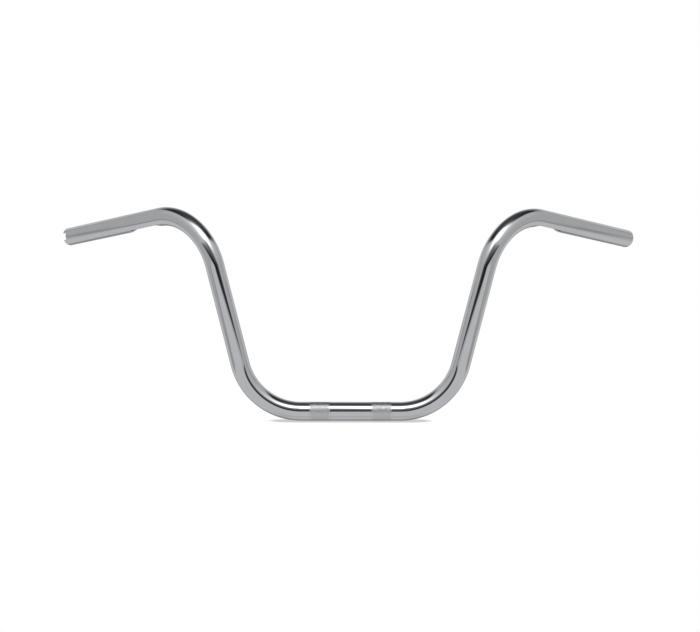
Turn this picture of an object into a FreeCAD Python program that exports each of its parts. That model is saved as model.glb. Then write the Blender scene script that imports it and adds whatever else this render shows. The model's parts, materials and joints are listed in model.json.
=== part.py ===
import FreeCAD, Part
# One-inch "mini-ape" motorcycle handlebar: a bent, hollow steel tube with two knurled clamp bands.
#
# Frame: the origin is on the tube's axis, halfway between the two clamp bands.  +X points to the
# rider's left (clutch side), +Y to the rear (towards the rider), +Z up.  Lengths are in
# millimetres, angles in degrees.
#
# The centreline of one half is: half the centre straight, the lower bend, the riser straight, the
# upper bend and the grip straight.  The centre, lower bend and riser lie in the XZ plane; the grip
# sweeps back and droops, so the upper bend turns in a plane of its own.
import math
import os

import Sketcher
from FreeCAD import Vector

SIZES = {
    # tube
    "tube_diameter": 25.4,
    "wall_thickness": 2.4,
    "end_chamfer": 1.0,
    # centreline of one half
    "centre_straight": 132.8,
    "lower_bend_radius": 84.7,
    "riser_straight": 136.4,
    "riser_lean": 14.15,
    "upper_bend_radius": 81.8,
    "grip_straight": 192.4,
    "grip_sweep": 38.9,
    "grip_droop": 8.55,
    # knurled bands that the riser clamps hold
    "band_spacing": 83.0,
    "band_width": 28.4,
    "band_rise": 0.1,
    "band_depth": 0.4,
    # slots under the grips for the switch wires, measured along the grip from the tube's end
    "wire_slot_width": 17.0,
    "wire_slot_roll": 13.0,
    "throttle_slot_length": 64.0,
    "throttle_slot_place": 163.6,
    "clutch_slot_length": 58.0,
    "clutch_slot_place": 178.6,
    # slot under the centre where the wires leave the tube, turned towards the rider
    "exit_slot_width": 14.0,
    "exit_slot_length": 34.0,
    "exit_slot_roll": 35.0,
    # pair of notches that index the twist-grip sensor in the throttle end
    "notch_width": 9.8,
    "notch_depth": 6.3,
    "notch_corner_radius": 1.5,
}

CLUTCH = 1
THROTTLE = -1
SIDE_NAMES = {CLUTCH: "clutch", THROTTLE: "throttle"}

# Expressions that several features share.  Each one is worked out by FreeCAD from the sheet.
BORE_DIAMETER = "(sizes.tube_diameter - 2 * sizes.wall_thickness)"
UPPER_BEND_ANGLE = (
    "acos(sin(sizes.riser_lean) * cos(sizes.grip_sweep) * cos(sizes.grip_droop)"
    " - cos(sizes.riser_lean) * sin(sizes.grip_droop))"
)
UPPER_BEND_TURN = (
    "atan2(sin(sizes.grip_sweep) * cos(sizes.grip_droop);"
    " cos(sizes.grip_sweep) * cos(sizes.grip_droop) * cos(sizes.riser_lean)"
    " + sin(sizes.grip_droop) * sin(sizes.riser_lean))"
)
RISER_END_X = (
    "(sizes.centre_straight / 2 + sizes.lower_bend_radius * cos(sizes.riser_lean)"
    " + sizes.riser_straight * sin(sizes.riser_lean))"
)
RISER_END_Z = (
    "(sizes.lower_bend_radius * (1 - sin(sizes.riser_lean))"
    " + sizes.riser_straight * cos(sizes.riser_lean))"
)
UPPER_BEND_TANGENT = f"(sizes.upper_bend_radius * tan({UPPER_BEND_ANGLE} / 2))"


def make_sheet(doc):
    """Put the driving dimensions in a spreadsheet, one alias to a row."""
    sheet = doc.addObject("Spreadsheet::Sheet", "sizes")
    for row, (name, value) in enumerate(SIZES.items(), start=1):
        sheet.set(f"A{row}", name)
        sheet.set(f"B{row}", str(value))
        sheet.setAlias(f"B{row}", name)
    doc.recompute()
    return sheet


def new_body(doc, name):
    body = doc.addObject("PartDesign::Body", name)
    body.Label = name
    return body


def new_sketch(body, name, plane, placement=None):
    """A sketch on one of the body's origin planes, moved by an expression where one is given."""
    sketch = body.newObject("Sketcher::SketchObject", name)
    origin = next(o for o in body.Origin.OriginFeatures if o.Role == plane)
    sketch.AttachmentSupport = (origin, [""])
    sketch.MapMode = "FlatFace"
    if placement:
        sketch.setExpression("AttachmentOffset", placement)
    return sketch


def constrain(sketch, expression, kind, *where):
    """Add a dimension to the sketch and bind its value to an expression."""
    start_value = FreeCAD.ActiveDocument.getObject("sizes").evalExpression(expression)
    start_value = getattr(start_value, "Value", start_value)
    if kind == "Angle":
        start_value = math.radians(start_value)
    index = sketch.addConstraint(Sketcher.Constraint(kind, *where, start_value))
    sketch.setExpression(f"Constraints[{index}]", expression)


def add_circle(sketch, diameter):
    circle = Part.Circle(Vector(0, 0, 0), Vector(0, 0, 1), SIZES["tube_diameter"] / 2)
    index = sketch.addGeometry(circle, False)
    sketch.addConstraint(Sketcher.Constraint("Coincident", index, 3, -1, 1))
    constrain(sketch, diameter, "Diameter", index)


def ring_sketch(body, name, plane, placement, outer_diameter, inner_diameter):
    sketch = new_sketch(body, name, plane, placement)
    add_circle(sketch, outer_diameter)
    add_circle(sketch, inner_diameter)
    return sketch


def point(angle, radius, centre=Vector(0, 0, 0)):
    """The point of a circle at an angle in degrees, in a sketch's plane."""
    turn = math.radians(angle)
    return centre + Vector(math.cos(turn), math.sin(turn), 0) * radius


def arc_of(centre, radius, start, end):
    circle = Part.Circle(centre, Vector(0, 0, 1), radius)
    return Part.ArcOfCircle(circle, math.radians(start), math.radians(end))


def lower_path(body):
    """Centreline from the middle of the bar to the top of the riser, in the XZ plane."""
    sketch = new_sketch(body, "lower_path", "XZ_Plane")
    half = SIZES["centre_straight"] / 2
    radius = SIZES["lower_bend_radius"]
    lean = SIZES["riser_lean"]
    bend_centre = Vector(half, radius, 0)
    bend_end = point(-lean, radius, bend_centre)
    riser_end = bend_end + point(90 - lean, SIZES["riser_straight"])
    centre = sketch.addGeometry(Part.LineSegment(Vector(0, 0, 0), Vector(half, 0, 0)), False)
    bend = sketch.addGeometry(arc_of(bend_centre, radius, -90, -lean), False)
    riser = sketch.addGeometry(Part.LineSegment(bend_end, riser_end), False)
    sketch.addConstraint(Sketcher.Constraint("Coincident", centre, 1, -1, 1))
    sketch.addConstraint(Sketcher.Constraint("Horizontal", centre))
    sketch.addConstraint(Sketcher.Constraint("Tangent", centre, 2, bend, 1))
    sketch.addConstraint(Sketcher.Constraint("Tangent", bend, 2, riser, 1))
    constrain(sketch, "sizes.centre_straight / 2", "Distance", centre)
    constrain(sketch, "sizes.lower_bend_radius", "Radius", bend)
    constrain(sketch, "90 - sizes.riser_lean", "Angle", riser)
    constrain(sketch, "sizes.riser_straight", "Distance", riser)
    return sketch


def upper_path(body):
    """Centreline from the top of the riser to the tube's end, in the plane of riser and grip."""
    placement = (
        f"placement(vector({RISER_END_X}; {RISER_END_Z}; 0);"
        f" rotation(vector(sin(sizes.riser_lean); cos(sizes.riser_lean); 0); {UPPER_BEND_TURN}))"
    )
    sketch = new_sketch(body, "upper_path", "XZ_Plane", placement)
    radius = SIZES["upper_bend_radius"]
    lean = SIZES["riser_lean"]
    bend_angle = body.Document.getObject("sizes").evalExpression(UPPER_BEND_ANGLE).Value
    bend_centre = point(-lean, radius)
    far_angle = 180 - lean - bend_angle
    grip_start = point(far_angle, radius, bend_centre)
    grip_end = grip_start + point(far_angle - 90, SIZES["grip_straight"])
    riser_line = Part.LineSegment(Vector(0, 0, 0), point(-90 - lean, radius))
    riser = sketch.addGeometry(riser_line, True)
    bend = sketch.addGeometry(arc_of(bend_centre, radius, far_angle, 180 - lean), False)
    grip = sketch.addGeometry(Part.LineSegment(grip_start, grip_end), False)
    sketch.addConstraint(Sketcher.Constraint("Coincident", riser, 1, -1, 1))
    sketch.addConstraint(Sketcher.Constraint("Tangent", riser, 1, bend, 2))
    sketch.addConstraint(Sketcher.Constraint("Tangent", bend, 1, grip, 1))
    constrain(sketch, "sizes.upper_bend_radius", "Distance", riser)
    constrain(sketch, "-90 - sizes.riser_lean", "Angle", riser)
    constrain(sketch, "sizes.upper_bend_radius", "Radius", bend)
    constrain(sketch, UPPER_BEND_ANGLE, "Angle", bend)
    constrain(sketch, "sizes.grip_straight", "Distance", grip)
    return sketch


def sweep_tube(body, name, path, section):
    pipe = body.newObject("PartDesign::AdditivePipe", name)
    pipe.Profile = section
    pipe.Spine = (path, [f"Edge{n + 1}" for n in range(len(path.Shape.Edges))])
    return pipe


def mirror_half(body, features):
    """The other half of the bar, and with it the whole tube."""
    mirrored = body.newObject("PartDesign::Mirrored", "other_half")
    mirror_plane = next(o for o in body.Origin.OriginFeatures if o.Role == "YZ_Plane")
    mirrored.Originals = features
    mirrored.MirrorPlane = (mirror_plane, [""])
    body.Tip = mirrored
    return mirrored


def chamfer_ends(body, base):
    """Break the outer edge of the tube at both ends."""
    reach = max(vertex.X for vertex in base.Shape.Vertexes)
    outer_radius = SIZES["tube_diameter"] / 2
    rims = []
    for number, edge in enumerate(base.Shape.Edges, start=1):
        round_edge = isinstance(edge.Curve, Part.Circle)
        at_end = abs(edge.CenterOfMass.x) > reach - SIZES["tube_diameter"]
        if round_edge and at_end and abs(edge.Curve.Radius - outer_radius) < 1e-6:
            rims.append(f"Edge{number}")
    chamfer = body.newObject("PartDesign::Chamfer", "end_chamfers")
    chamfer.Base = (base, rims)
    chamfer.setExpression("Size", "sizes.end_chamfer")
    return chamfer


def grip_frame(side, from_end, roll):
    """Placement of a sketch whose X axis runs out along a grip, at a distance from the tube's end.

    With no roll the sketch's Y axis is level, and with a roll it has turned about the grip.
    """
    along = f"({UPPER_BEND_TANGENT} + sizes.grip_straight - {from_end})"
    x = (
        f"{side} * ({RISER_END_X} + {UPPER_BEND_TANGENT} * sin(sizes.riser_lean)"
        f" + {along} * cos(sizes.grip_sweep) * cos(sizes.grip_droop))"
    )
    y = f"{along} * sin(sizes.grip_sweep) * cos(sizes.grip_droop)"
    z = (
        f"({RISER_END_Z} + {UPPER_BEND_TANGENT} * cos(sizes.riser_lean)"
        f" - {along} * sin(sizes.grip_droop))"
    )
    yaw = "sizes.grip_sweep" if side == CLUTCH else "180 - sizes.grip_sweep"
    return f"placement(vector({x}; {y}; {z}); rotation({yaw}; sizes.grip_droop; {roll}))"


def add_slot_outline(sketch, length, width):
    """A slot with round ends, centred on the sketch's origin and running along its X axis."""
    half_straight = SIZES["exit_slot_length"] / 2
    radius = SIZES["exit_slot_width"] / 2
    right_end = arc_of(Vector(half_straight, 0, 0), radius, -90, 90)
    left_end = arc_of(Vector(-half_straight, 0, 0), radius, 90, 270)
    upper_line = Part.LineSegment(
        Vector(half_straight, radius, 0), Vector(-half_straight, radius, 0)
    )
    lower_line = Part.LineSegment(
        Vector(-half_straight, -radius, 0), Vector(half_straight, -radius, 0)
    )
    right = sketch.addGeometry(right_end, False)
    upper = sketch.addGeometry(upper_line, False)
    left = sketch.addGeometry(left_end, False)
    lower = sketch.addGeometry(lower_line, False)
    sketch.addConstraint(Sketcher.Constraint("Tangent", right, 2, upper, 1))
    sketch.addConstraint(Sketcher.Constraint("Tangent", upper, 2, left, 1))
    sketch.addConstraint(Sketcher.Constraint("Tangent", left, 2, lower, 1))
    sketch.addConstraint(Sketcher.Constraint("Tangent", lower, 2, right, 1))
    sketch.addConstraint(Sketcher.Constraint("Horizontal", upper))
    sketch.addConstraint(Sketcher.Constraint("Symmetric", right, 3, left, 3, -1, 1))
    sketch.addConstraint(Sketcher.Constraint("Equal", right, left))
    constrain(sketch, f"{length} - {width}", "Distance", upper)
    constrain(sketch, f"{width} / 2", "Radius", right)


def cut_wall_slot(body, name, placement, length, width):
    """A slot through the tube's wall, on the side that the sketch's Z axis points away from."""
    sketch = new_sketch(body, f"{name}_outline", "XY_Plane", placement)
    add_slot_outline(sketch, length, width)
    slot = body.newObject("PartDesign::Pocket", name)
    slot.Profile = sketch
    slot.setExpression("Length", "sizes.tube_diameter")
    return slot


def cut_wire_slot(body, side):
    name = f"{SIDE_NAMES[side]}_wire_slot"
    place = f"sizes.{SIDE_NAMES[side]}_slot_place"
    length = f"sizes.{SIDE_NAMES[side]}_slot_length"
    placement = grip_frame(side, place, f"{side} * sizes.wire_slot_roll")
    return cut_wall_slot(body, name, placement, length, "sizes.wire_slot_width")


def cut_exit_slot(body):
    placement = "placement(vector(0; 0; 0); rotation(0; 0; sizes.exit_slot_roll))"
    return cut_wall_slot(
        body, "exit_slot", placement, "sizes.exit_slot_length", "sizes.exit_slot_width"
    )


def cut_sensor_notches(body):
    """One cut across the throttle end, which leaves a notch in its front and its rear wall."""
    placement = grip_frame(THROTTLE, "0", "90")
    sketch = new_sketch(body, "notch_outline", "XY_Plane", placement)
    depth = SIZES["notch_depth"]
    half = SIZES["notch_width"] / 2
    radius = SIZES["notch_corner_radius"]
    beyond = SIZES["tube_diameter"]
    top_line = Part.LineSegment(Vector(beyond, half, 0), Vector(radius - depth, half, 0))
    top_corner = arc_of(Vector(radius - depth, half - radius, 0), radius, 90, 180)
    floor_line = Part.LineSegment(
        Vector(-depth, half - radius, 0), Vector(-depth, radius - half, 0)
    )
    low_corner = arc_of(Vector(radius - depth, radius - half, 0), radius, 180, 270)
    low_line = Part.LineSegment(Vector(radius - depth, -half, 0), Vector(beyond, -half, 0))
    mouth_line = Part.LineSegment(Vector(beyond, -half, 0), Vector(beyond, half, 0))
    outline = [top_line, top_corner, floor_line, low_corner, low_line, mouth_line]
    top, upper_arc, floor, lower_arc, low, mouth = [sketch.addGeometry(g, False) for g in outline]
    sketch.addConstraint(Sketcher.Constraint("Tangent", top, 2, upper_arc, 1))
    sketch.addConstraint(Sketcher.Constraint("Tangent", upper_arc, 2, floor, 1))
    sketch.addConstraint(Sketcher.Constraint("Tangent", floor, 2, lower_arc, 1))
    sketch.addConstraint(Sketcher.Constraint("Tangent", lower_arc, 2, low, 1))
    sketch.addConstraint(Sketcher.Constraint("Coincident", low, 2, mouth, 1))
    sketch.addConstraint(Sketcher.Constraint("Coincident", mouth, 2, top, 1))
    sketch.addConstraint(Sketcher.Constraint("Horizontal", top))
    sketch.addConstraint(Sketcher.Constraint("Horizontal", low))
    sketch.addConstraint(Sketcher.Constraint("Vertical", mouth))
    sketch.addConstraint(Sketcher.Constraint("Symmetric", upper_arc, 3, lower_arc, 3, -1))
    sketch.addConstraint(Sketcher.Constraint("Equal", upper_arc, lower_arc))
    constrain(sketch, "sizes.notch_corner_radius", "Radius", upper_arc)
    constrain(sketch, "sizes.notch_width", "Distance", mouth)
    constrain(sketch, "sizes.tube_diameter", "DistanceX", -1, 1, mouth, 1)
    constrain(sketch, "sizes.notch_depth", "DistanceX", floor, 1, -1, 1)
    notches = body.newObject("PartDesign::Pocket", "sensor_notches")
    notches.Profile = sketch
    notches.SideType = "Symmetric"
    notches.setExpression("Length", "2 * sizes.tube_diameter")
    return notches


def add_rectangle(sketch, left, width, bottom, height):
    """A rectangle right of the Y axis, or left of it where left is negative."""
    sign = 1 if left > 0 else -1
    near, far = left, left + sign * width
    corners = [
        Vector(near, bottom, 0),
        Vector(far, bottom, 0),
        Vector(far, bottom + height, 0),
        Vector(near, bottom + height, 0),
    ]
    lines = [
        sketch.addGeometry(Part.LineSegment(corners[i], corners[(i + 1) % 4]), False)
        for i in range(4)
    ]
    for i in range(4):
        sketch.addConstraint(Sketcher.Constraint("Coincident", lines[i], 2, lines[(i + 1) % 4], 1))
        sketch.addConstraint(Sketcher.Constraint("Vertical" if i % 2 else "Horizontal", lines[i]))
    return lines


def cut_band_grooves(body):
    """Two shallow grooves around the centre straight, where the knurled bands lie."""
    sketch = new_sketch(body, "band_groove_outline", "XZ_Plane")
    inner_x = (SIZES["band_spacing"] - SIZES["band_width"]) / 2
    floor_z = SIZES["tube_diameter"] / 2 - SIZES["band_depth"]
    near_edge = "(sizes.band_spacing - sizes.band_width) / 2"
    for side in (CLUTCH, THROTTLE):
        lines = add_rectangle(
            sketch, side * inner_x, SIZES["band_width"], floor_z, SIZES["wall_thickness"]
        )
        ends = (-1, 1, lines[0], 1) if side == CLUTCH else (lines[0], 1, -1, 1)
        constrain(sketch, near_edge, "DistanceX", *ends)
        constrain(sketch, "sizes.band_width", "Distance", lines[0])
        constrain(sketch, "sizes.wall_thickness", "Distance", lines[1])
        constrain(
            sketch, "sizes.tube_diameter / 2 - sizes.band_depth", "DistanceY", -1, 1, lines[0], 1
        )
    grooves = body.newObject("PartDesign::Groove", "band_grooves")
    grooves.Profile = sketch
    grooves.ReferenceAxis = (sketch, ["H_Axis"])
    return grooves


def make_bar_tube(doc):
    """The one bent tube that the whole handlebar is made of."""
    body = new_body(doc, "bar_tube")
    riser_end = (
        f"placement(vector({RISER_END_X}; 0; {RISER_END_Z});"
        " rotation(vector(0; 1; 0); sizes.riser_lean))"
    )
    lower = lower_path(body)
    upper = upper_path(body)
    bore = BORE_DIAMETER
    centre_ring = ring_sketch(body, "centre_section", "YZ_Plane", None, "sizes.tube_diameter", bore)
    riser_ring = ring_sketch(
        body, "riser_section", "XY_Plane", riser_end, "sizes.tube_diameter", bore
    )
    doc.recompute()
    halves = [
        sweep_tube(body, "centre_and_riser", lower, centre_ring),
        sweep_tube(body, "bend_and_grip", upper, riser_ring),
    ]
    doc.recompute()
    whole = mirror_half(body, halves)
    doc.recompute()
    chamfer_ends(body, whole)
    cut_band_grooves(body)
    cut_exit_slot(body)
    cut_wire_slot(body, CLUTCH)
    cut_wire_slot(body, THROTTLE)
    cut_sensor_notches(body)
    return body


def make_knurled_band(doc, side):
    """The knurled ring on one side of the centre, filling its groove and a little proud of it."""
    body = new_body(doc, f"{SIDE_NAMES[side]}_side_knurl")
    placement = f"placement(vector(0; 0; {side} * sizes.band_spacing / 2); rotation(0; 0; 0))"
    outer = "sizes.tube_diameter + 2 * sizes.band_rise"
    inner = "sizes.tube_diameter - 2 * sizes.band_depth"
    ring = ring_sketch(body, f"{body.Name}_section", "YZ_Plane", placement, outer, inner)
    band = body.newObject("PartDesign::Pad", f"{body.Name}_ring")
    band.Profile = ring
    band.SideType = "Symmetric"
    band.setExpression("Length", "sizes.band_width")
    return body


def check_document(doc, sub_parts):
    """Stop if a feature failed, a cut removed nothing, or a sub-part isn't one good solid."""
    for item in doc.Objects:
        if "Invalid" in item.State or "Error" in item.State:
            raise RuntimeError(f"{item.Label} failed: {item.State}")
        if item.TypeId in ("PartDesign::Pocket", "PartDesign::Groove"):
            if item.Shape.Volume >= item.BaseFeature.Shape.Volume:
                raise RuntimeError(f"{item.Label} cuts nothing")
    for body in sub_parts:
        if body.Shape.isNull() or not body.Shape.isValid():
            raise RuntimeError(f"{body.Label} has no valid shape")
        if len(body.Shape.Solids) != 1:
            raise RuntimeError(f"{body.Label} holds {len(body.Shape.Solids)} solids")


def main():
    doc = FreeCAD.newDocument("handlebar")
    make_sheet(doc)
    sub_parts = [
        make_bar_tube(doc),
        make_knurled_band(doc, CLUTCH),
        make_knurled_band(doc, THROTTLE),
    ]
    doc.recompute()
    check_document(doc, sub_parts)
    os.makedirs("parts", exist_ok=True)
    for body in sub_parts:
        body.Shape.exportStep(f"parts/{body.Label}.step")


main()
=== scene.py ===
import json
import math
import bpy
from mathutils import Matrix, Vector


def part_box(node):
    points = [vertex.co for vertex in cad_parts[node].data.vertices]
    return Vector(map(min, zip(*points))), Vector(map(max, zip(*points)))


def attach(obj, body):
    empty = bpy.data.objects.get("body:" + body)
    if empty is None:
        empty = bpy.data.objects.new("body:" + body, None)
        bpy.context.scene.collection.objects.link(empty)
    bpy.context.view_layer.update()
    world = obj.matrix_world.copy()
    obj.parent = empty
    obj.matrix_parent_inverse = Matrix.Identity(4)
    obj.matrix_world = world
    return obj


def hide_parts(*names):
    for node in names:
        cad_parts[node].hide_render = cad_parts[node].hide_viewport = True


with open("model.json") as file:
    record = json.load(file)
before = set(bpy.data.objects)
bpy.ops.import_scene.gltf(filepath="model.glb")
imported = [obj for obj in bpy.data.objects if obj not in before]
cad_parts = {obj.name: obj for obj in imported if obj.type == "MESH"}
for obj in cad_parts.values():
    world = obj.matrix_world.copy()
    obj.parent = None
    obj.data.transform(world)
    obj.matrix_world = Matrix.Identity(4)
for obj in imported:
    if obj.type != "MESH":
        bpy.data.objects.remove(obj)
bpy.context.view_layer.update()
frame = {"record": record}
# The chromed one-inch handlebar: its bent tube and two knurled clamp bands, with their finishes,
# and a plain studio around them.
#
# Shapes are worked out in millimetres and become metres when a mesh is made.  "Length" is the
# distance along the tube's centreline from the throttle end, and "turn" is the angle around it.
from types import SimpleNamespace as Group

import bpy
import numpy as np
from mathutils import Matrix

MM = 0.001
MOUNTS = {mount["name"]: mount for mount in frame["record"]["mounts"]}

# Sizes that the frame's mounts give.
TUBE_RADIUS = MOUNTS["clutch_side_grip_seat"]["dims"]["r_mm"]
BORE_RADIUS = MOUNTS["clutch_end_bore"]["dims"]["r_mm"]
GRIP_LENGTH = MOUNTS["clutch_end_bore"]["dims"]["length_mm"]
BAND_RADIUS = MOUNTS["clutch_side_clamp_band"]["dims"]["r_mm"]
BAND_WIDTH = MOUNTS["clutch_side_clamp_band"]["dims"]["length_mm"]
BAND_X = MOUNTS["clutch_side_clamp_band"]["pos_m"][0] / MM

# Sizes that they don't.
RISER_LEAN = math.radians(14.15)
LOWER_BEND_RADIUS = 84.7
UPPER_BEND_RADIUS = 81.8
BAND_DEPTH = 0.4
WIRE_SLOT_WIDTH = 17.0
WIRE_SLOT_ROLL = math.radians(13.0)
THROTTLE_SLOT_LENGTH = 64.0
THROTTLE_SLOT_FROM_END = 163.6
CLUTCH_SLOT_LENGTH = 58.0
CLUTCH_SLOT_FROM_END = 178.6
EXIT_SLOT_WIDTH = 14.0
EXIT_SLOT_LENGTH = 34.0
EXIT_SLOT_ROLL = math.radians(35.0)
NOTCH_WIDTH = 9.8
NOTCH_DEPTH = 6.3
NOTCH_CORNER = 1.5

# Roundings: where an opening meets the outer wall, where it meets the bore, and at the tube's ends.
EDGE_ROUNDING = 0.45
INNER_ROUNDING = 0.3
END_ROUNDING = 1.1

# How finely the tube is meshed: cells around it, and its rings' steps along the wall and the bore.
AROUND = 96
CELL = 2 * math.pi / AROUND
OUTER_STEP = 3.0
INNER_STEP = 6.0

# The window left in the mesh around each opening: how far it reaches past the opening, its rows
# of cells, and half of its turn on the outer wall and in the bore.
SLOT_MARGIN = 7.0
NOTCH_MARGIN = 7.0
WIRE_SLOT_WINDOW = Group(rows=40, bore_rows=32, turn=60.0, bore_turn=75.0)
EXIT_SLOT_WINDOW = Group(rows=24, bore_rows=20, turn=52.5, bore_turn=60.0)
NOTCH_WINDOW = Group(rows=8, bore_rows=8, turn=37.5, bore_turn=37.5)
PATCH_RINGS = 6
PATCH_CROWDING = 1.5
DROP_STEPS = 15


def unit(vector):
    return vector / np.linalg.norm(vector)


def add_object(name, data):
    thing = bpy.data.objects.new(name, data)
    bpy.context.scene.collection.objects.link(thing)
    return thing


# ---- centreline ----


def bar_corners():
    """Where the straights would meet, from the throttle end to the clutch end."""
    halves = []
    for side in ("throttle", "clutch"):
        seat = np.array(MOUNTS[f"{side}_side_grip_seat"]["pos_m"]) / MM
        axis = unit(np.array(MOUNTS[f"{side}_side_grip_seat"]["axis"]))
        end = seat + axis * GRIP_LENGTH / 2
        upper = seat - axis * (seat[1] / axis[1])
        inward = -math.copysign(math.tan(RISER_LEAN), upper[0])
        lower = upper + upper[2] * np.array([inward, 0, -1])
        halves.append([end, upper, lower])
    throttle, clutch = halves
    return throttle + clutch[::-1]


def piece_frame(piece, far):
    """Point, direction and cross axis of the centreline, at a distance into one of its pieces."""
    along, across, inward, radius = (piece[key] for key in ("along", "across", "inward", "radius"))
    if radius is None:
        return piece["place"] + far * along, along, across
    sine, cosine = np.sin(far / radius), np.cos(far / radius)
    point = piece["place"] + radius * (sine * along + (1 - cosine) * inward)
    axis = np.cross(along, inward)
    swung = (across @ inward) * (cosine * inward - sine * along) + (across @ axis) * axis
    return point, cosine * along + sine * inward, swung


def build_centreline():
    """The centreline's straights and bends, in order, each with its frame where it starts."""
    corners = bar_corners()
    radii = [UPPER_BEND_RADIUS, LOWER_BEND_RADIUS, LOWER_BEND_RADIUS, UPPER_BEND_RADIUS]
    place, along = corners[0], unit(corners[1] - corners[0])
    across = unit(np.cross(along, [0, 0, 1]))
    length = 0.0
    pieces = []

    def add(size, inward=None, radius=None):
        nonlocal length, place, along, across
        pieces.append(
            {"start": length, "place": place, "along": along, "across": across, "inward": inward,
             "radius": radius}
        )
        place, along, across = piece_frame(pieces[-1], size)
        length += size

    for number, radius in enumerate(radii, start=1):
        after = unit(corners[number + 1] - corners[number])
        turn = math.acos(along @ after)
        add(np.linalg.norm(corners[number] - place) - radius * math.tan(turn / 2))
        add(radius * turn, unit(after - along * (along @ after)), radius)
    add(np.linalg.norm(corners[-1] - place))
    return pieces, length


CENTRELINE, TUBE_LENGTH = build_centreline()


def centre_frame(lengths):
    """Point, direction and two cross axes of the centreline at each length."""
    lengths = np.asarray(lengths, float)
    point, along, across = (np.zeros(lengths.shape + (3,)) for _ in range(3))
    for number, piece in enumerate(CENTRELINE):
        here = lengths >= piece["start"] if number else np.ones(lengths.shape, bool)
        far = (lengths[here] - piece["start"])[:, None]
        point[here], along[here], across[here] = piece_frame(piece, far)
    return point, along, across, np.cross(along, across)


def tube_place(lengths, turns, radius):
    """Points at a radius from the centreline, and the outward direction at each."""
    lengths, turns = np.broadcast_arrays(lengths, turns)
    point, _, across, up = centre_frame(lengths)
    outward = across * np.cos(turns)[..., None] + up * np.sin(turns)[..., None]
    return point + outward * np.asarray(radius)[..., None], outward


# ---- openings ----


class Opening:
    """A slot or notch cut straight through the tube's wall, seen in its own flat frame.

    x runs along the tube, y across it, and "away" points from the centreline out of the opening.
    """

    def __init__(self, name, length, away, window, size=None):
        point, along, across, up = (value[0] for value in centre_frame([length]))
        self.name = name
        self.length = length
        self.size = size
        self.closed = size is not None
        self.sides = {}
        self.origin = point
        self.along = along
        self.away = unit(away - along * (away @ along))
        self.sideways = np.cross(along, self.away)
        self.turn = math.atan2(self.away @ up, self.away @ across)
        self.cell = round(self.turn / CELL)
        self.twist = self.turn - self.cell * CELL
        self.rows = {True: window.rows, False: window.bore_rows}
        turns = {True: window.turn, False: window.bore_turn}
        self.half_cells = {outer: round(math.radians(turn) / CELL) for outer, turn in turns.items()}

    def columns(self, outer):
        """The mesh's columns that the opening's window takes."""
        half = self.half_cells[outer]
        return np.arange(self.cell - half, self.cell + half) % AROUND

    def drop(self, x, y, radius):
        """Length and turn of the tube's surface under a place in the opening's flat frame."""
        length = self.length + x
        turn = self.turn + np.arcsin(y / radius)
        for _ in range(DROP_STEPS):
            point = tube_place(length, turn, radius)[0] - self.origin
            length = length + (x - point @ self.along)
            turn = turn + (y - point @ self.sideways) / (radius * np.cos(turn - self.turn))
        return length, turn


def share_out(corners, counts):
    """Outline lengths from each corner to the next, in the given numbers of equal steps."""
    spans = zip(corners, corners[1:], counts)
    steps = [np.linspace(start, end, count, endpoint=False) for start, end, count in spans]
    return np.concatenate(steps + [[corners[-1]]])


def outline_at(at, marks, degrees, centres, radius):
    """Places and outward normals along an outline of straights and round corners."""
    angle = np.radians(np.interp(at, marks, degrees))
    normal = np.stack([np.cos(angle), np.sin(angle)], axis=1)
    x, y = (np.interp(at, marks, centre) for centre in centres)
    return x + radius * normal[:, 0], y + radius * normal[:, 1], normal


def slot_outline(length, width, cells_along, cells_across):
    """Round-ended slot: places and outward normals, once around from its near lower shoulder."""
    radius = width / 2
    half = (length - width) / 2
    quarter = radius * math.pi / 2
    around = 4 * (half + quarter)
    marks = [-half - quarter, -half, half, half + 2 * quarter, around - half - 2 * quarter]
    marks.append(around - half)
    shoulders = [-half - quarter / 2, half + quarter / 2, half + 1.5 * quarter]
    shoulders += [around - half - 1.5 * quarter, around - half - quarter / 2]
    at = share_out(shoulders, [cells_along, cells_across, cells_along, cells_across])
    centres = ([-half, -half, half, half, -half, -half], [0] * 6)
    return outline_at(at, marks, [-180, -90, -90, 90, 90, 270], centres, radius)


def notch_outline(mouth, cells_along, cells_across):
    """Notch with round corners: places and outward normals, from one side of its mouth around."""
    half = NOTCH_WIDTH / 2 - NOTCH_CORNER
    inner = NOTCH_DEPTH - NOTCH_CORNER
    quarter = NOTCH_CORNER * math.pi / 2
    marks = np.cumsum([0, inner - mouth, quarter, 2 * half, quarter, inner - mouth])
    corners = [0, marks[1] + quarter / 2, marks[3] + quarter / 2, marks[-1]]
    at = share_out(corners, [cells_along, cells_across, cells_along])
    centres = ([mouth] + [inner] * 4 + [mouth], [-half] * 3 + [half] * 3)
    return outline_at(at, marks, [-90, -90, 0, 0, 90, 90], centres, NOTCH_CORNER)


# ---- mesh building ----


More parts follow.
